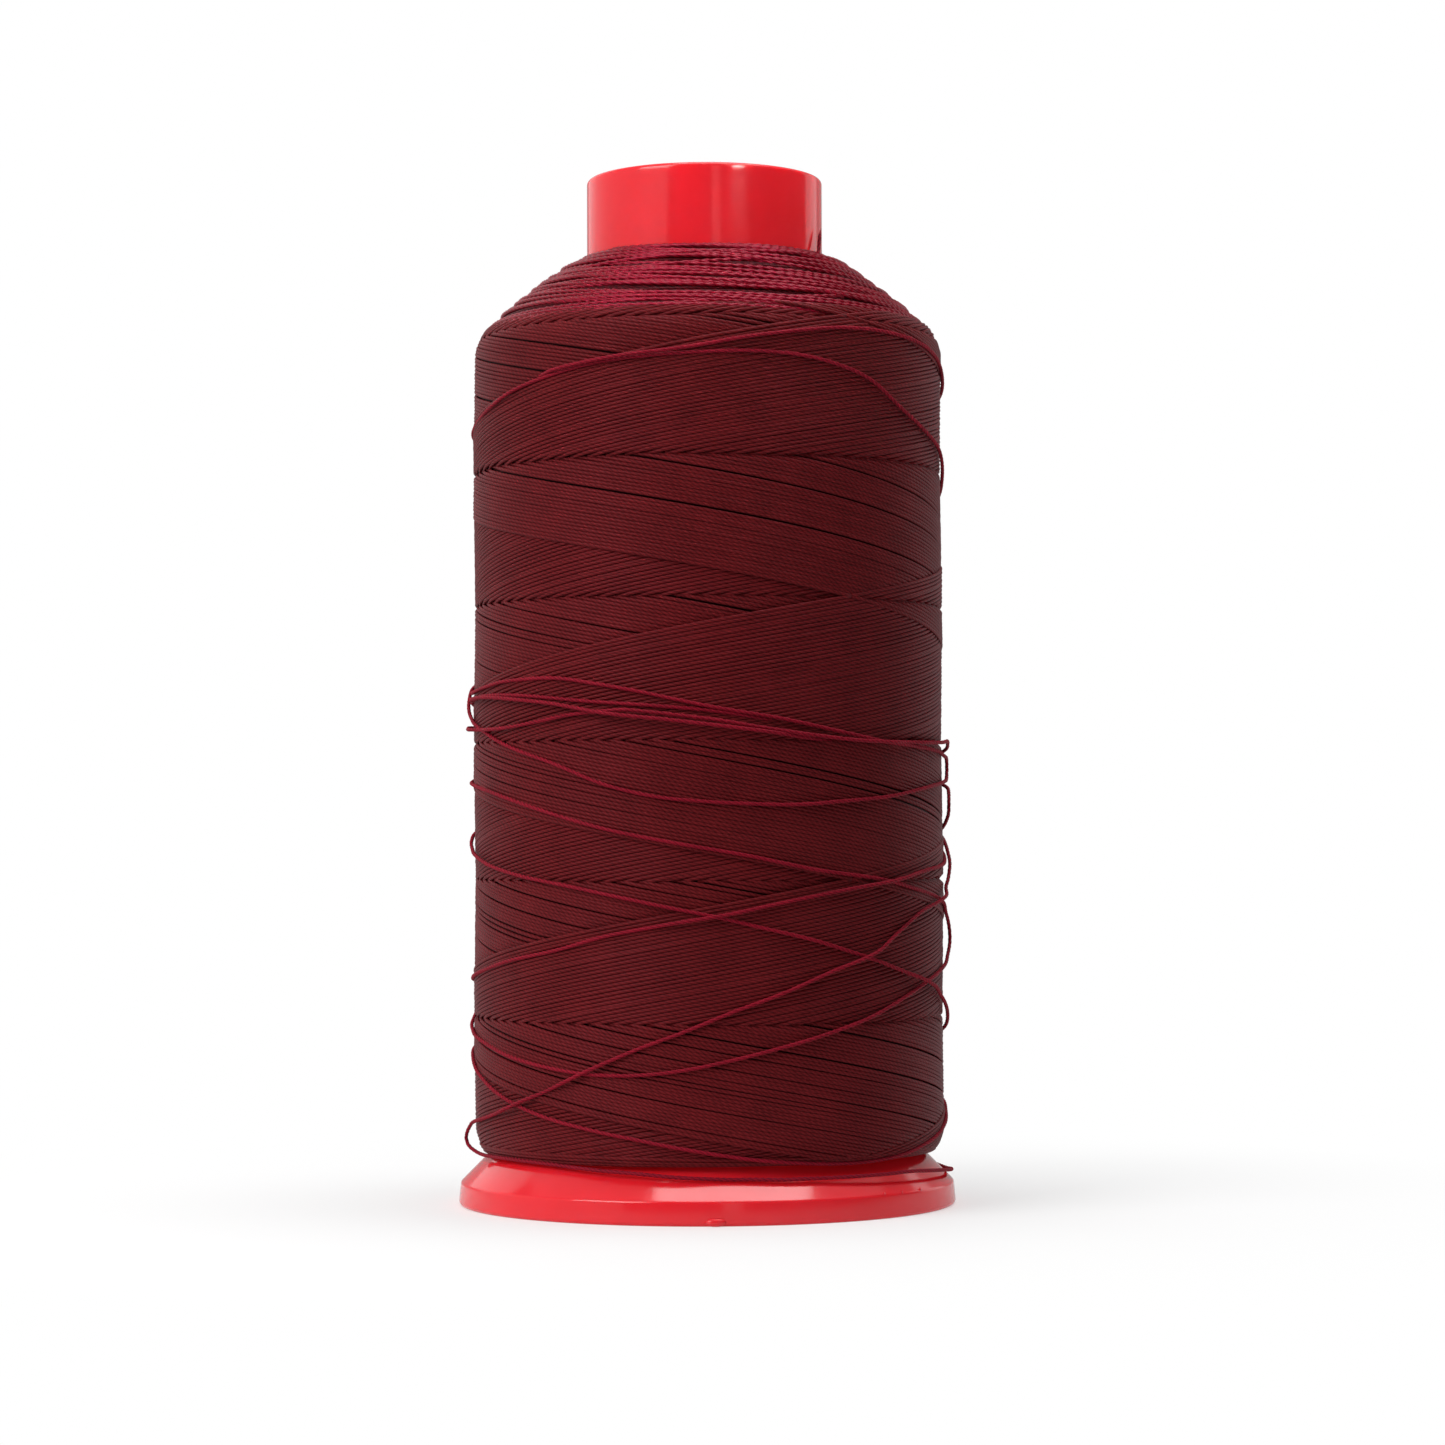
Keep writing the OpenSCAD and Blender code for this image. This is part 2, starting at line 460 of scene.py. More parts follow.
# The older thread under the turns is the same thread, coloured far darker to stand for the shade in
# the gaps: painted shade.
BACKING_PAINTED_SHADE = thread_material("inner_thread_painted_shade", (0.012, 0.0012, 0.002), (0.03, 0.002, 0.003), 0.5)


def finish_piece(piece, material, slot, *nodes):
    """Gives a piece its material, hangs it from the root body, and hides the CAD nodes that it stands
    for. slot is not used.
    """
    piece.data.materials.append(material)
    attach(piece, "root")
    if nodes:
        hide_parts(*nodes)


# ---- loose thread -----------------------------------------------------------------------------

# A strand's middle is TUCKED where it has gone in under the wound turns. It is LYING where it rests
# on them, settled a little between two. Both are in mm out from the package's skin.
TUCKED = -0.6
LYING = 0.37

# The tail's last stretch: [degrees round from the front towards +X, mm from the axis, mm up]. It
# keeps within 0.8 mm of the CAD node thread_tail, which it stands for.
TAIL_ROUTE = [
    [-80, 28.3, 10.1], [-83, 28.6, 9.5], [-85, 28.9, 8.7], [-86, 29, 7.9], [-85, 28.7, 7.1],
    [-82.5, 28.1, 6.6], [-79, 27.5, 6.3], [-72, 27.2, 6.3], [-62, 27.1, 6.4], [-52, 27.1, 6.4],
    [-42, 27.1, 6.3], [-33, 27.3, 6.1], [-25, 27.6, 5.9], [-16, 27.8, 5.7], [-8, 27.9, 5.4],
    [0, 27.8, 5.2], [6, 27.7, 5.1], [11, 27.7, 5.1], [17, 27.8, 5.0], [24, 28, 5.0],
    [34, 28.3, 5.0], [45, 28.6, 5], [56, 28.8, 5], [66, 29, 4.7], [75, 29.1, 4.4], [83, 29.3, 4.1],
    [90, 29.4, 3.9], [97, 29.3, 3.7], [105, 28.9, 3.9], [113, 28.4, 4.3], [120, 27.9, 4.9],
    [127, 27.1, 5.8],
]

# The tail before that, and the slack turns: [degrees round, mm out from the skin, mm up].
TAIL_LEAD = [
    [142, TUCKED, 48], [124, 0.1, 46.2], [108, 0.2, 44.6], [96, 0.5, 43], [90, 1.0, 41.2],
    [86, 0.8, 39], [80, 0.35, 37.3], [72, LYING, 36.3], [61, LYING, 35.1], [51, LYING, 32.9],
    [43, LYING, 30.8], [29, LYING, 28.4], [17, LYING, 26.1], [5, LYING, 24], [-6, LYING, 21.8],
    [-17, LYING, 19.8], [-29, LYING, 17.3], [-38, LYING, 15.4], [-55, LYING, 12.5],
    [-68, LYING, 11],
]
SLACK_ROUTES = {
    "slack_arch": [
        [-148, TUCKED, 87.5], [-130, 0.1, 89.2], [-112, 0.2, 90.7], [-98, 0.15, 91.9],
        [-85, 0.2, 93], [-64, LYING, 94.7], [-49, LYING, 96.5], [-29, LYING, 98.2],
        [-13, LYING, 98.9], [5, LYING, 99.3], [18, LYING, 99.2], [29, LYING, 98.5],
        [41, LYING, 96.9], [52, LYING, 94.1], [65, LYING, 91.7], [77, LYING, 90], [87, 0.3, 87.4],
        [99, 0.2, 84.9], [115, 0.1, 82.8], [136, TUCKED, 80.6],
    ],
    "slack_high_turn": [
        [-52, TUCKED, 96.8], [-38, 0.1, 97.9], [-21, LYING, 98.9], [-10, LYING, 99.4],
        [-2, LYING, 99.9], [9, LYING, 100.9], [21, LYING, 101.8], [33, 0.25, 102.5],
        [46, 0.25, 102.6], [60, LYING, 102.1], [73, LYING, 101], [86, LYING, 99.2],
        [97, LYING, 97.4], [112, 0.1, 95.6], [131, TUCKED, 93.6],
    ],
    "slack_turn_1": [
        [26, TUCKED, 56.4], [14, -0.1, 57.3], [2, 0.2, 58.2], [-13, LYING, 58.9],
        [-29, LYING, 59.5], [-49, LYING, 60.4], [-66, LYING, 60.7], [-78, LYING, 60.5],
        [-88, LYING, 60.2], [-97, 0.3, 59.9], [-104, 0.3, 59.7], [-108, 0.3, 59.7],
        [-110.8, 0.3, 60.15], [-111.8, 0.3, 61], [-110.8, 0.3, 61.85], [-108, 0.3, 62.3],
        [-104, 0.3, 62.2], [-97, 0.3, 61.8], [-88, LYING, 61.4], [-78, LYING, 61.4],
        [-66, LYING, 61.8], [-56, LYING, 62.2], [-39, LYING, 62.3], [-27, LYING, 61.5],
        [-16, LYING, 60.5], [0, LYING, 58.8], [17, LYING, 57.4], [33, LYING, 55.9],
        [46, LYING, 54.9], [55, LYING, 54.6], [72, LYING, 54.1], [80, LYING, 53.7],
        [85, 0.5, 53.5], [87.8, 0.6, 53.45], [90.1, 0.7, 53.25], [91.9, 0.8, 52.85],
        [92.6, 0.85, 52.1], [91.9, 0.8, 51.35], [90.1, 0.7, 50.95], [87.8, 0.6, 50.75],
        [85, 0.5, 50.6], [75, LYING, 50.2], [63, LYING, 49.6], [48, LYING, 48.6], [33, LYING, 48],
        [21, LYING, 47.6], [9, LYING, 47.7], [-2, LYING, 48], [-13, LYING, 48.6], [-25, LYING, 50],
        [-38, LYING, 52.3], [-56, LYING, 54.7], [-74, LYING, 57.1], [-83, 0.5, 58.2],
        [-88, 0.8, 59.4], [-92, 0.85, 60.8], [-97, 0.8, 62.1], [-104, 0.5, 63], [-112, 0.2, 63.6],
        [-124, 0.1, 64], [-140, TUCKED, 64.4],
    ],
    "slack_turn_2": [
        [-128, TUCKED, 59.4], [-112, 0.1, 58.2], [-98, LYING, 57.4], [-89, 0.6, 57.2],
        [-86.5, 0.6, 57.1], [-82, LYING, 56.9], [-59, LYING, 56.7], [-43, LYING, 57.4],
        [-34, LYING, 58], [-22, LYING, 58.4], [-16, LYING, 58.3], [2, LYING, 57.2],
        [13, LYING, 56.3], [29, LYING, 55.3], [43, LYING, 54.9], [68, LYING, 55], [82, 0.37, 55.3],
        [87, 0.6, 55.4], [91, 0.7, 55.1], [93.5, 0.65, 54.6], [98, 0.4, 54.1], [110, 0.2, 53.4],
        [130, 0.1, 52], [150, TUCKED, 50.2],
    ],
    "slack_turn_3": [
        [-90, TUCKED, 60], [-80, 0.1, 60.4], [-68, LYING, 60.5], [-56, LYING, 60.2],
        [-38, LYING, 59.3], [-24, 0.35, 58.1], [-8, LYING, 57.2], [10, 0.1, 56.1],
        [24, -0.1, 55.2], [36, TUCKED, 54.6],
    ],
    "slack_bow": [
        [138, TUCKED, 52.6], [118, 0.1, 51.8], [100, 0.4, 50.6], [90, 0.75, 49.2], [87, 0.9, 47.7],
        [89, 0.75, 46.2], [97, 0.4, 44.8], [107, 0.1, 43.8], [118, TUCKED, 42.9],
    ],
    "slack_turn_4": [
        [-136, TUCKED, 54.6], [-120, 0.05, 53.1], [-106, 0.2, 51.8], [-92, LYING, 50.8],
        [-82, LYING, 50.3], [-64, LYING, 49.3], [-49, LYING, 47.8], [-34, LYING, 46],
        [-21, LYING, 44.5], [-6, LYING, 43.1], [9, LYING, 41.8], [25, LYING, 40.2],
        [43, LYING, 39.1], [55, LYING, 38.1], [75, LYING, 36.5], [85, 0.5, 34.7], [89.5, 0.9, 33],
        [90, 1.0, 31.3], [87, 0.7, 29.8], [80, LYING, 28.4], [63, LYING, 26.7], [43, LYING, 23.5],
        [29, LYING, 21.5], [17, LYING, 20], [5, LYING, 18.6], [-6, LYING, 17.5],
        [-17, LYING, 16.9], [-29, LYING, 16.9], [-41, LYING, 17.5], [-55, LYING, 18.5],
        [-73, LYING, 20.1], [-84, 0.4, 21], [-91, 0.4, 22], [-104, 0.2, 24], [-122, 0.2, 26.6],
        [-140, 0.1, 28.6], [-158, TUCKED, 30],
    ],
    "slack_turn_5": [
        [-132, TUCKED, 48], [-114, 0.1, 46.2], [-98, 0.35, 44.7], [-89, 0.5, 43.6],
        [-85, 0.4, 42.6], [-77, LYING, 41.8], [-64, LYING, 40.6], [-49, LYING, 39.4],
        [-34, LYING, 38.3], [-21, LYING, 37.1], [-9, LYING, 35.9], [2, LYING, 34.8],
        [14, LYING, 33.4], [25, LYING, 32.1], [38, LYING, 30.3], [48, LYING, 28.9],
        [63, LYING, 26.9], [75, LYING, 25.1], [86, 0.6, 22.9], [95, 0.5, 20.8], [110, 0.1, 19.2],
        [128, TUCKED, 17.4],
    ],
    "slack_turn_6": [
        [146, TUCKED, 49.1], [130, 0.1, 47.2], [112, 0.2, 44.4], [97, LYING, 42.3],
        [86, LYING, 41], [75, LYING, 40.4], [63, LYING, 39.9], [46, LYING, 38.7],
        [33, LYING, 37.8], [17, LYING, 36.4], [5, LYING, 35.2], [-6, LYING, 34.3],
        [-13, LYING, 33.7], [-25, LYING, 32.6], [-38, LYING, 31], [-55, LYING, 29.6],
        [-73, LYING, 28], [-84, LYING, 27.2], [-96, 0.2, 26.6], [-110, 0.1, 25.7],
        [-126, TUCKED, 24.4],
    ],
    "slack_turn_7": [
        [-134, TUCKED, 21.8], [-112, 0.1, 19.9], [-97, LYING, 18.8], [-84, LYING, 17.7],
        [-73, LYING, 15.9], [-58, LYING, 13.7], [-43, LYING, 11.9], [-29, LYING, 10.6],
        [-17, LYING, 9.6], [-6, LYING, 8.6], [9, LYING, 7.4], [21, LYING, 6.8], [32, LYING, 6.5],
        [43, LYING, 6.5], [55, LYING, 7], [69, LYING, 8.3], [80, LYING, 9.6], [88, LYING, 10.9],
        [98, LYING, 12.2], [114, 0.1, 13.6], [134, TUCKED, 15.4],
    ],
}

# The thread's starting end, given as TAIL_ROUTE is.
END_ROUTE = [
    [-48, 14.9, 113.4], [-36, 14.9, 113.4], [-24, 14.9, 113.4], [-12, 14.9, 113.4],
    [0, 14.9, 113.4], [12, 14.9, 113.4], [24, 14.95, 113.3], [36, 15, 113.2], [48, 15.1, 113],
    [57, 15.2, 112.8], [61, 15.2, 113], [64, 15.1, 113.6], [66, 15, 114.4], [67.5, 14.9, 115.3],
    [69, 14.85, 116.2], [71, 14.8, 116.9],
]


def from_polar(route):
    """Points in metres from degrees, radius and height in millimetres."""
    points = []
    for degrees, r, z in route:
        a = math.radians(degrees)
        points.append((r * MM * math.sin(a), -r * MM * math.cos(a), z * MM))
    return points


def skin_radius(height):
    """The radius of the package's skin at a height on its heel or its straight side."""
    tuck = np.clip(HEEL_Z - height, 0, HEEL_R)
    return SKIN_R - HEEL_R + np.sqrt(HEEL_R**2 - tuck**2)


def from_skin(route):
    """Points in metres from degrees, and millimetres out from the package's skin and up."""
    points = [(a, skin_radius(z * MM) / MM + out, z) for a, out, z in route]
    return [(x + PACKAGE_SHIFT, y, z) for x, y, z in from_polar(points)]


# The paths of the strands made so far, each of which the next ones pass over.
laid = []


def lay_over(path):
    """The path, raised in a long low hump wherever it crosses a thread that was laid before it."""
    # A hump is whole up to 0.3 of fade from the other thread, and gone at 1.3. Nothing that lies
    # more than skin_margin below the package's skin is raised. far_side keeps threads on the
    # package's other side out of it.
    fade, clearance, skin_margin = 2.2 * MM, 1.02 * THREAD_D, 0.15 * MM
    far_side, smoothing = 1.0, 9
    own = path - [PACKAGE_SHIFT, 0, 0]
    radius = np.hypot(own[:, 0], own[:, 1])
    lift = np.zeros(len(path))
    if laid:
        under = np.vstack(laid) - [PACKAGE_SHIFT, 0, 0]
        under_radius = np.hypot(under[:, 0], under[:, 1])
        turn = np.arctan2(own[:, 0], -own[:, 1])[:, None] - np.arctan2(under[:, 0], -under[:, 1])
        sideways = SKIN_R * np.arcsin(np.clip(np.sin(turn), -1, 1))
        sideways = np.where(np.cos(turn) > 0, sideways, far_side)
        apart = np.hypot(sideways, own[:, 2][:, None] - under[:, 2])
        hump = smoothstep(1.3 - apart / fade)
        lift = (hump * (under_radius + clearance - radius[:, None])).max(axis=1).clip(0)
        out = radius - skin_radius(own[:, 2])
        lift *= smoothstep((out + skin_margin) / (2 * skin_margin))
        window = np.hanning(smoothing) / np.hanning(smoothing).sum()
        lift = np.convolve(np.pad(lift, smoothing // 2, mode="edge"), window, mode="valid")
    raised = path + own * [1, 1, 0] * (lift / radius)[:, None]
    laid.append(raised)
    return raised


def loose_thread(name, route, far_end, *nodes, taper=0.0):
    """A length of loose thread, a twisted three-ply tube along its route."""
    point_gap, sides, twist = 0.3 * MM, 12, 2.2 * MM
    path = lay_over(curve_through(route, point_gap))
    outward = path * [1, 1, 0]
    outward /= np.linalg.norm(outward, axis=1)[:, None]
    lines = [(path, outward)]
    piece = thread_object(name, lines, THREAD_R, sides, plies=0.09, twist=twist, taper=taper)
    # The loose thread takes the lighter copy of the thread colour: painted light.
    finish_piece(piece, SLACK_PAINTED_LIGHT, "slack_thread", *nodes)


for turn_name, turn_route in SLACK_ROUTES.items():
    loose_thread(turn_name, from_skin(turn_route), "object")
tail_points = from_skin(TAIL_LEAD) + from_polar(TAIL_ROUTE)
loose_thread("thread_tail_turn", tail_points, "object", "thread_tail")
loose_thread("starting_end", from_polar(END_ROUTE), "bare", "thread_end", taper=1.2 * MM)


# ---- the wound package ------------------------------------------------------------------------


def uneven_steps():
    """How far each neighbour strays from its even place, for four places on its way round: runs
    of even spacing with a wider gap here and there."""
    places, unevenness, gap_chance, gap = 4, 0.05, 0.10, 0.55
    strays = []
    for _ in range(places):
        step = 1 + unevenness * rng.standard_normal(NEIGHBOURS)
        step[rng.random(NEIGHBOURS) < gap_chance] += gap
        step *= NEIGHBOURS / step.sum()
        strays.append((np.cumsum(step) - np.arange(1, NEIGHBOURS + 1)) * STEP)
    return np.array(strays)


def stray(strays, k, angle):
    """The stray of neighbour k at each angle, blended smoothly from one stored place to the next."""
    places_per_turn = 1.7
    place = (angle / 360 * places_per_turn) % len(strays)
    low = np.floor(place).astype(int) % len(strays)
    mix = smoothstep(place - np.floor(place))
    return strays[low, k] * (1 - mix) + strays[(low + 1) % len(strays), k] * mix


def ramp_down(distance, centre, half):
    """One below the centre and zero above it, changing smoothly over half on either side."""
    return smoothstep(0.5 - (distance - centre) / (2 * half))


def visible_lines(falling):
    """The stretches of thread of one lean that nothing newer covers, each ducking under the newer
    threads at its ends. The two leans meet along level lines half a turn's rise apart, where the
    falling threads duck early and leave a notch under each rising one."""
    lines = []
    bottom, top = HEEL_END, CORNER_END + 0.8 * MM
    bottom_fade, bottom_sink = 0.6 * MM, 0.3 * MM
    top_fade, top_sink = 1.2 * MM, 0.7 * MM
    shortest, point_gap = 0.1 * MM, 0.22 * MM
    ripple, ripple_rate = 0.02 * MM, 0.11
    newest_half, newest_sink, over = 0.42 * MM, 0.95 * THREAD_D, 0.34 * MM
    level_centre, level_half = (0.30 * MM, 0.30 * MM) if falling else (-0.12 * MM, 0.12 * MM)
    strays = uneven_steps()
    half = TURN_RISE / 2
    half_turns = range(-6, 5)
    middle = (NEWEST_FALLING + NEWEST_RISING) / 2
    for k in range(NEIGHBOURS):
        age = k * STEP
        shown = (TURN_RISE - age) / 2
        pad = over if k else 0.0
        for j in half_turns:
            if falling:
                low = middle + age / 2 + j * half
                high = low + shown
            else:
                high = middle - age / 2 + j * half
                low = high - shown
            start, end = max(low - pad, bottom), min(high + pad, top)
            if end - start < shortest:
                continue
            count = max(5, int((end - start) / point_gap))
            along = np.linspace(start, end, count)
            if falling:
                angle = (NEWEST_FALLING + age - along) * 360 / TURN_RISE
                past_newest, past_level = along - low, high - along
            else:
                angle = (along - NEWEST_RISING + age) * 360 / TURN_RISE
                past_newest, past_level = high - along, along - low
            sink = np.zeros(count)
            if k:
                sink = newest_sink * ramp_down(past_newest, 0, newest_half)
                sink = np.maximum(sink, THREAD_D * ramp_down(past_level, level_centre, level_half))
            sink = sink + LAYER_DEPTH * age / TURN_RISE - PROUD
            sink = sink + top_sink * smoothstep((along - (top - top_fade)) / top_fade)
            sink = sink + bottom_sink * smoothstep((bottom + bottom_fade - along) / bottom_fade)
            sink = sink + ripple * np.sin(angle * ripple_rate + rng.uniform(0, 7))
            lines.append(on_package(angle, along + stray(strays, k, angle), sink + THREAD_R))
    return lines


def build_wound_side():
    """The straight side's turns, in three pieces of each lean, one above the other."""
    parts, highest, radius = 3, SHOULDER_Z + 5 * MM, 1.02 * THREAD_R
    edges = np.linspace(0, highest, parts + 1)
    for falling, name in ((True, "falling_turns"), (False, "rising_turns")):
        lines = visible_lines(falling)
        heights = [p[:, 2].mean() for p, _ in lines]
        for part in range(parts):
            low, high = edges[part], edges[part + 1]
            chosen = [line for line, height in zip(lines, heights) if low <= height < high]
            piece = thread_object(f"{name}_{part + 1}", chosen, radius, 8, flat=0.9)
            nodes = ["outer_turns"] if part == 0 and falling else []
            finish_piece(piece, WOUND, "wound_thread", *nodes)


def shoulder_lines(gap, slant, depths, step):
    """Hoops over the shoulder, gap apart and between two depths under its skin, with a point every
    step degrees. Each is a slanting circle: slant is how far it swings up and down the outline,
    mostly falling towards +X at the front. Next to the barrel they settle deeper, most in front."""
    main_share, wobble, ripple_depth = 0.85, 0.15, 0.06 * MM
    settle_reach, settle_depth = 3 * MM, 0.55 * MM
    lines = []
    start, end = CORNER_END - 1.1 * MM, DOME_END - 0.15 * MM
    place = start
    while place < end:
        turn = np.radians(np.arange(-180, 180.1, step))
        swing = slant * rng.uniform(0.5, 1.2)
        swing = min(swing, 0.9 * (end - place) + 0.1 * MM, place - start + 0.4 * MM)
        lean = rng.normal(0, 0.45) if rng.random() < main_share else rng.normal(2.6, 0.7)
        wave, ripple = rng.uniform(0, 7, 2)
        along = place - swing * np.sin(turn + lean) + wobble * swing * np.sin(2 * turn + wave)
        along = np.minimum(along, end)
        depth = rng.uniform(*depths) + ripple_depth * np.sin(3 * turn + ripple)
        settle = smoothstep(1 - (end - along) / settle_reach) * (0.55 + 0.45 * np.cos(turn))
        sink = depth + settle_depth * settle + THREAD_R
        lines.append(on_package(np.degrees(turn), along, sink))
        place += gap * rng.uniform(0.7, 1.35)
    return lines


def build_shoulder():
    """The looser turns over the shoulder: rope-like hoops that ride over an even bed of others."""
    bed_depths, hoop_depths = (0.28 * MM, 0.36 * MM), (-0.12 * MM, 0.14 * MM)
    bed = shoulder_lines(0.42 * MM, 0.2 * MM, bed_depths, 3)
    # The bed's dark colour is painted shade in the gaps between the hoops.
    piece = thread_object("shoulder_bed", bed, 1.05 * THREAD_R, 8)
    finish_piece(piece, BED_PAINTED_SHADE, "slack_thread", "shoulder_turns")
    hoops = shoulder_lines(0.49 * MM, 2.6 * MM, hoop_depths, 0.8)
    parts, radius, twist = 2, 1.16 * THREAD_R, 3.7 * MM
    for part in range(parts):
        name, chosen = f"shoulder_hoops_{part + 1}", hoops[part::parts]
        piece = thread_object(name, chosen, radius, 9, plies=0.16, twist=twist)
        finish_piece(piece, ROPE, "slack_thread")


def build_heel_turns():
    """The lowest turns, which run level where the package sits down on the foot."""
    turn = np.arange(-180, 180.1, 2)
    wave_size, stand_out = 0.1, 0.2 * MM
    lines = []
    for place in (0.1, 0.45, 0.85):
        wave = wave_size * np.sin(np.radians(2 * turn + rng.uniform(0, 360)))
        lines.append(on_package(turn, HEEL_END + (place + wave) * MM, THREAD_R - stand_out))
    finish_piece(thread_object("heel_turns", lines, THREAD_R, 8), WOUND, "wound_thread")


def build_backing():
    """The older thread that shows only in the gaps, as one smooth body under the turns. It is coloured
    far darker than the turns: painted shade in the gaps.
    """
    depth = 0.9 * MM
    along = np.linspace(HEEL_END, DOME_END, 300)
    points, _ = on_package(0.0, along, depth)
    outline = [(-y, z) for _, y, z in points]
    outline += [(BARREL_R, outline[-1][1]), (BARREL_R, SLOPE_SUM - BARREL_R)]
    piece = lathe_object("package_body", outline, 180)
    finish_piece(piece, BACKING_PAINTED_SHADE, "wound_thread", "thread_package")


build_wound_side()
build_shoulder()
build_heel_turns()
build_backing()


# ---- the plastic core -------------------------------------------------------------------------


def build_core():
    """The one moulding, from its outline: foot and outside upwards, rim, and bore downwards."""
    inner_band_r = FOOT_R - WALL
    rim_r, bevel, chamfer = EDGE_R / 2, 0.15 * MM, 1 * MM
    outline = [(inner_band_r, bevel), (inner_band_r + bevel, 0.0)]
    outline += arc((FOOT_R - EDGE_R, EDGE_R), EDGE_R, -90, 0)
    edge_z = BAND_H - EDGE_R * math.tan(math.radians(22.5))
    outline += arc((BAND_TOP_R - EDGE_R, edge_z), EDGE_R, 0, 45)
    slope_top = SLOPE_SUM - BARREL_R
    for t in (0.9, 0.6, 0.3):
        r = BARREL_R + (BAND_TOP_R - BARREL_R) * t
        outline.append((r, slope_top + (BAND_H - slope_top) * t))
    outline += [(BARREL_R, slope_top)]
    outline += [(BARREL_R, z) for z in np.linspace(slope_top + 5 * MM, CORE_H - 2 * EDGE_R, 12)]
    outline += arc((BARREL_R - EDGE_R, CORE_H - EDGE_R), EDGE_R, 0, 90)
    outline += arc((BORE_R + rim_r, CORE_H - rim_r), rim_r, 90, 180)
    inner_top = INNER_SLOPE_SUM - BORE_R
    outline += [(BORE_R, z) for z in np.linspace(CORE_H - 4 * EDGE_R, inner_top + 2 * MM, 10)]
    outline += [(BORE_R, inner_top), (BORE_R + chamfer, inner_top - chamfer)]
    outline += [(inner_band_r, INNER_SLOPE_SUM - inner_band_r), (inner_band_r, 0.6 * MM)]
    piece = lathe_object("moulded_core", outline, 288)
    finish_piece(piece, RED_PLASTIC, "core_plastic", "spool_core")


def pip_object(name, middle, size):
    """A smooth closed pip: an ellipsoid of half sizes along X, Y and Z."""
    rows, columns = 8, 20
    points = []
    for i in range(1, rows):
        tilt = math.pi * i / rows
        for j in range(columns):
            turn = 2 * math.pi * j / columns
            place = (math.sin(tilt) * math.cos(turn), math.sin(tilt) * math.sin(turn), math.cos(tilt))
            points.append([m + s * p for m, s, p in zip(middle, size, place)])
    loops, sizes = [], []
    for i in range(rows - 2):
        for j in range(columns):
            k = (j + 1) % columns
            loops += [i * columns + j, (i + 1) * columns + j, (i + 1) * columns + k, i * columns + k]
            sizes.append(4)
    last = (rows - 2) * columns
    loops += list(range(columns)) + [last + columns - 1 - j for j in range(columns)]
    sizes += [columns, columns]
    finish_piece(mesh_object(name, points, loops, sizes), RED_PLASTIC, "core_plastic")


def build_mould_marks():
    """The stub of the mould's gate, low on the front of the foot, and three ticks on its slope."""
    gate_place = (0.9 * MM, -(FOOT_R - 0.02 * MM), 0.5 * MM)
    gate_size = (1.2 * MM, 0.55 * MM, 0.5 * MM)
    pip_object("gate_mark", gate_place, gate_size)
    tick_size = (0.13 * MM, 0.17 * MM, 0.3 * MM)
    height = 2.85 * MM
    for number, angle in enumerate((43.6, 49.4, 57.0)):
        a, r = math.radians(angle), SLOPE_SUM - height
        middle = (r * math.sin(a), -r * math.cos(a), height)
        pip_object(f"slope_tick_{number + 1}", middle, tick_size)


build_core()
build_mould_marks()


# ---- studio -----------------------------------------------------------------------------------


def make_floor():
    """A pale table that fades to a plain white glow away from the spool. As light the glow is
    dimmer than it looks, so that the foot isn't lit from below. The front edge is out of view."""
    side, front = 3.0, -0.21
    floor = mesh_object(
        "floor",
        [(-side, front, 0), (side, front, 0), (side, side, 0), (-side, side, 0)],
        [0, 1, 2, 3],
        [4],
    )
    n = Nodes("floor")
    n.set(Base_Color=(0.9, 0.9, 0.9, 1), Roughness=0.6)
    glow = n.add("Emission")
    seen = n.add("MapRange")
    seen.inputs["To Min"].default_value = 0.6
    n.link(n.add("LightPath").outputs["Is Camera Ray"], seen.inputs["Value"])
    n.link(seen.outputs["Result"], glow.inputs["Strength"])
    place = n.add("TexCoord").outputs["Object"]
    length = n.add("VectorMath", operation="LENGTH")
    n.link(place, length.inputs[0])
    far = n.add("MapRange", interpolation_type="SMOOTHSTEP")
    far.inputs["From Min"].default_value = 0.025
    far.inputs["From Max"].default_value = 0.12
    far.inputs["To Min"].default_value = 0.45
    n.link(length.outputs["Value"], far.inputs["Value"])
    mix = n.add("MixShader")
    n.link(far.outputs["Result"], mix.inputs[0])
    n.link(n.shader.outputs[0], mix.inputs[1])
    n.link(glow.outputs[0], mix.inputs[2])
    n.link(mix.outputs[0], n.tree.nodes["Material Output"].inputs["Surface"])
    floor.data.materials.append(n.material)


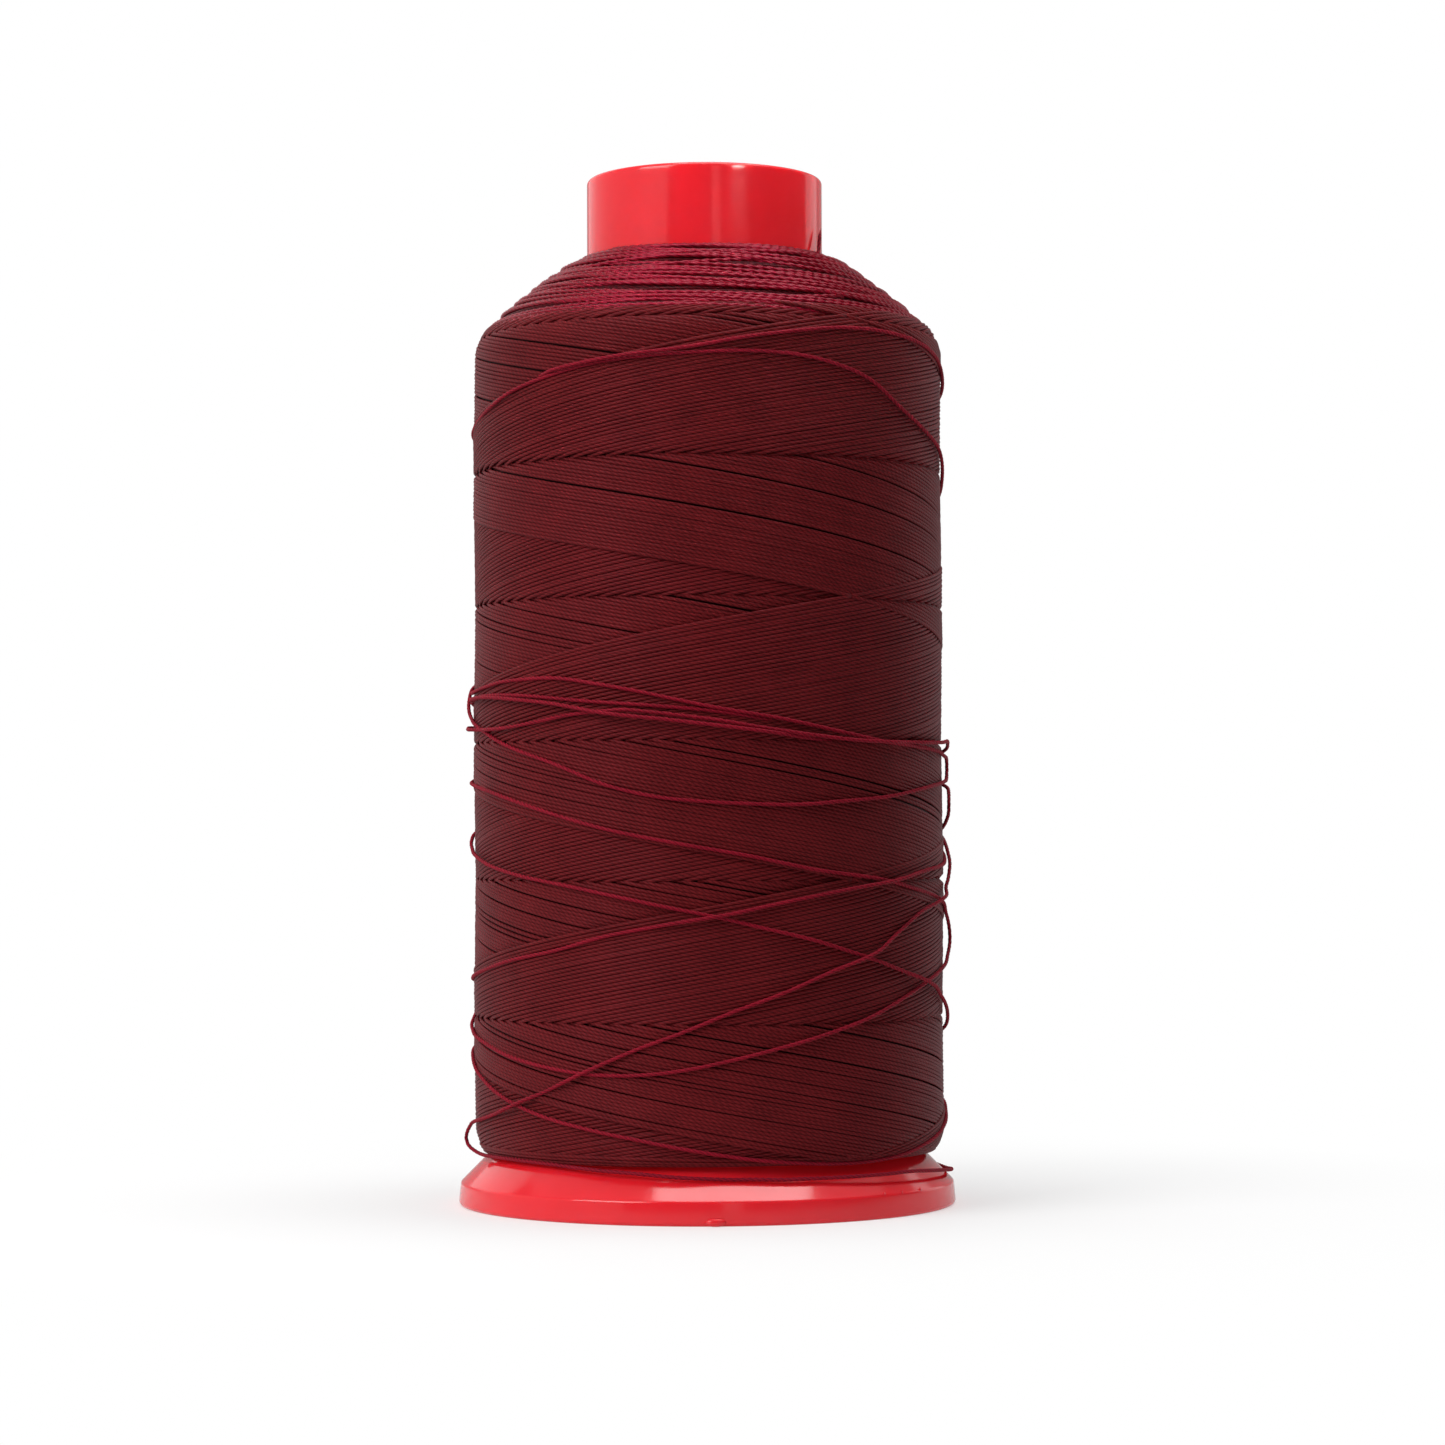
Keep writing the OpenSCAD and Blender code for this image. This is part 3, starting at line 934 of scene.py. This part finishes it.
def make_world():
    """White to the eye. As light it is dim, and brighter behind the spool."""
    world = bpy.data.worlds.new("world")
    bpy.context.scene.world = world
    world.use_nodes = True
    tree = world.node_tree
    background = tree.nodes["Background"]
    background.inputs["Color"].default_value = (1, 1, 1, 1)
    place = tree.nodes.new("ShaderNodeTexCoord")
    split = tree.nodes.new("ShaderNodeSeparateXYZ")
    tree.links.new(place.outputs["Generated"], split.inputs[0])
    behind = tree.nodes.new("ShaderNodeMapRange")
    behind.interpolation_type = "SMOOTHSTEP"
    behind.inputs["From Min"].default_value = 0.3
    behind.inputs["From Max"].default_value = 0.95
    behind.inputs["To Min"].default_value = 0.12
    behind.inputs["To Max"].default_value = 0.38
    tree.links.new(split.outputs["Y"], behind.inputs["Value"])
    path = tree.nodes.new("ShaderNodeLightPath")
    strength = tree.nodes.new("ShaderNodeMapRange")
    tree.links.new(path.outputs["Is Camera Ray"], strength.inputs["Value"])
    tree.links.new(behind.outputs["Result"], strength.inputs["To Min"])
    tree.links.new(strength.outputs["Result"], background.inputs["Strength"])


def make_light(name, location, target, width, height, radiance, spread=180):
    """A soft rectangular light of an even radiance, or one with a grid that narrows its spread."""
    data = bpy.data.lights.new(name, "AREA")
    data.shape = "RECTANGLE"
    data.size, data.size_y = width, height
    data.energy = radiance * math.pi * width * height
    data.spread = math.radians(spread)
    light = bpy.data.objects.new(name, data)
    light.location = location
    light.rotation_euler = (Vector(location) - Vector(target)).to_track_quat("Z", "Y").to_euler()
    bpy.context.collection.objects.link(light)


MIDDLE = (0, 0, 0.06)
ABOVE_BARREL = (0, 0, 0.175)


def towards(azimuth, elevation, distance):
    """A place seen from the spool's middle at an azimuth from the front and an elevation."""
    a, e = math.radians(azimuth), math.radians(elevation)
    return (
        distance * math.sin(a) * math.cos(e),
        -distance * math.cos(a) * math.cos(e),
        MIDDLE[2] + distance * math.sin(e),
    )


make_floor()
make_world()
make_light("left_window", towards(-84, 12, 0.8), MIDDLE, 1.7, 0.7, 0.62)
make_light("left_key", towards(-50, 32, 0.8), MIDDLE, 0.45, 0.4, 6.5)
make_light("left_back", towards(-145, 28, 1.0), MIDDLE, 0.45, 0.6, 0.7)
make_light("right_rim", towards(130, 10, 0.9), MIDDLE, 0.4, 0.6, 0.8)
make_light("overhead", (0.11, -0.01, 0.9), (0.11, -0.01, 0), 0.68, 0.36, 5.7)
make_light("ceiling", (0, 0, 1.0), (0, 0, 0), 1.8, 1.8, 0.4)
make_light("front_strip", towards(11, 10, 0.9), MIDDLE, 0.13, 0.5, 0.65)
make_light("barrel_spot", towards(34, 22, 0.9), ABOVE_BARREL, 0.2, 0.1, 0.7, spread=14)

bpy.context.scene.view_settings.view_transform = "Standard"
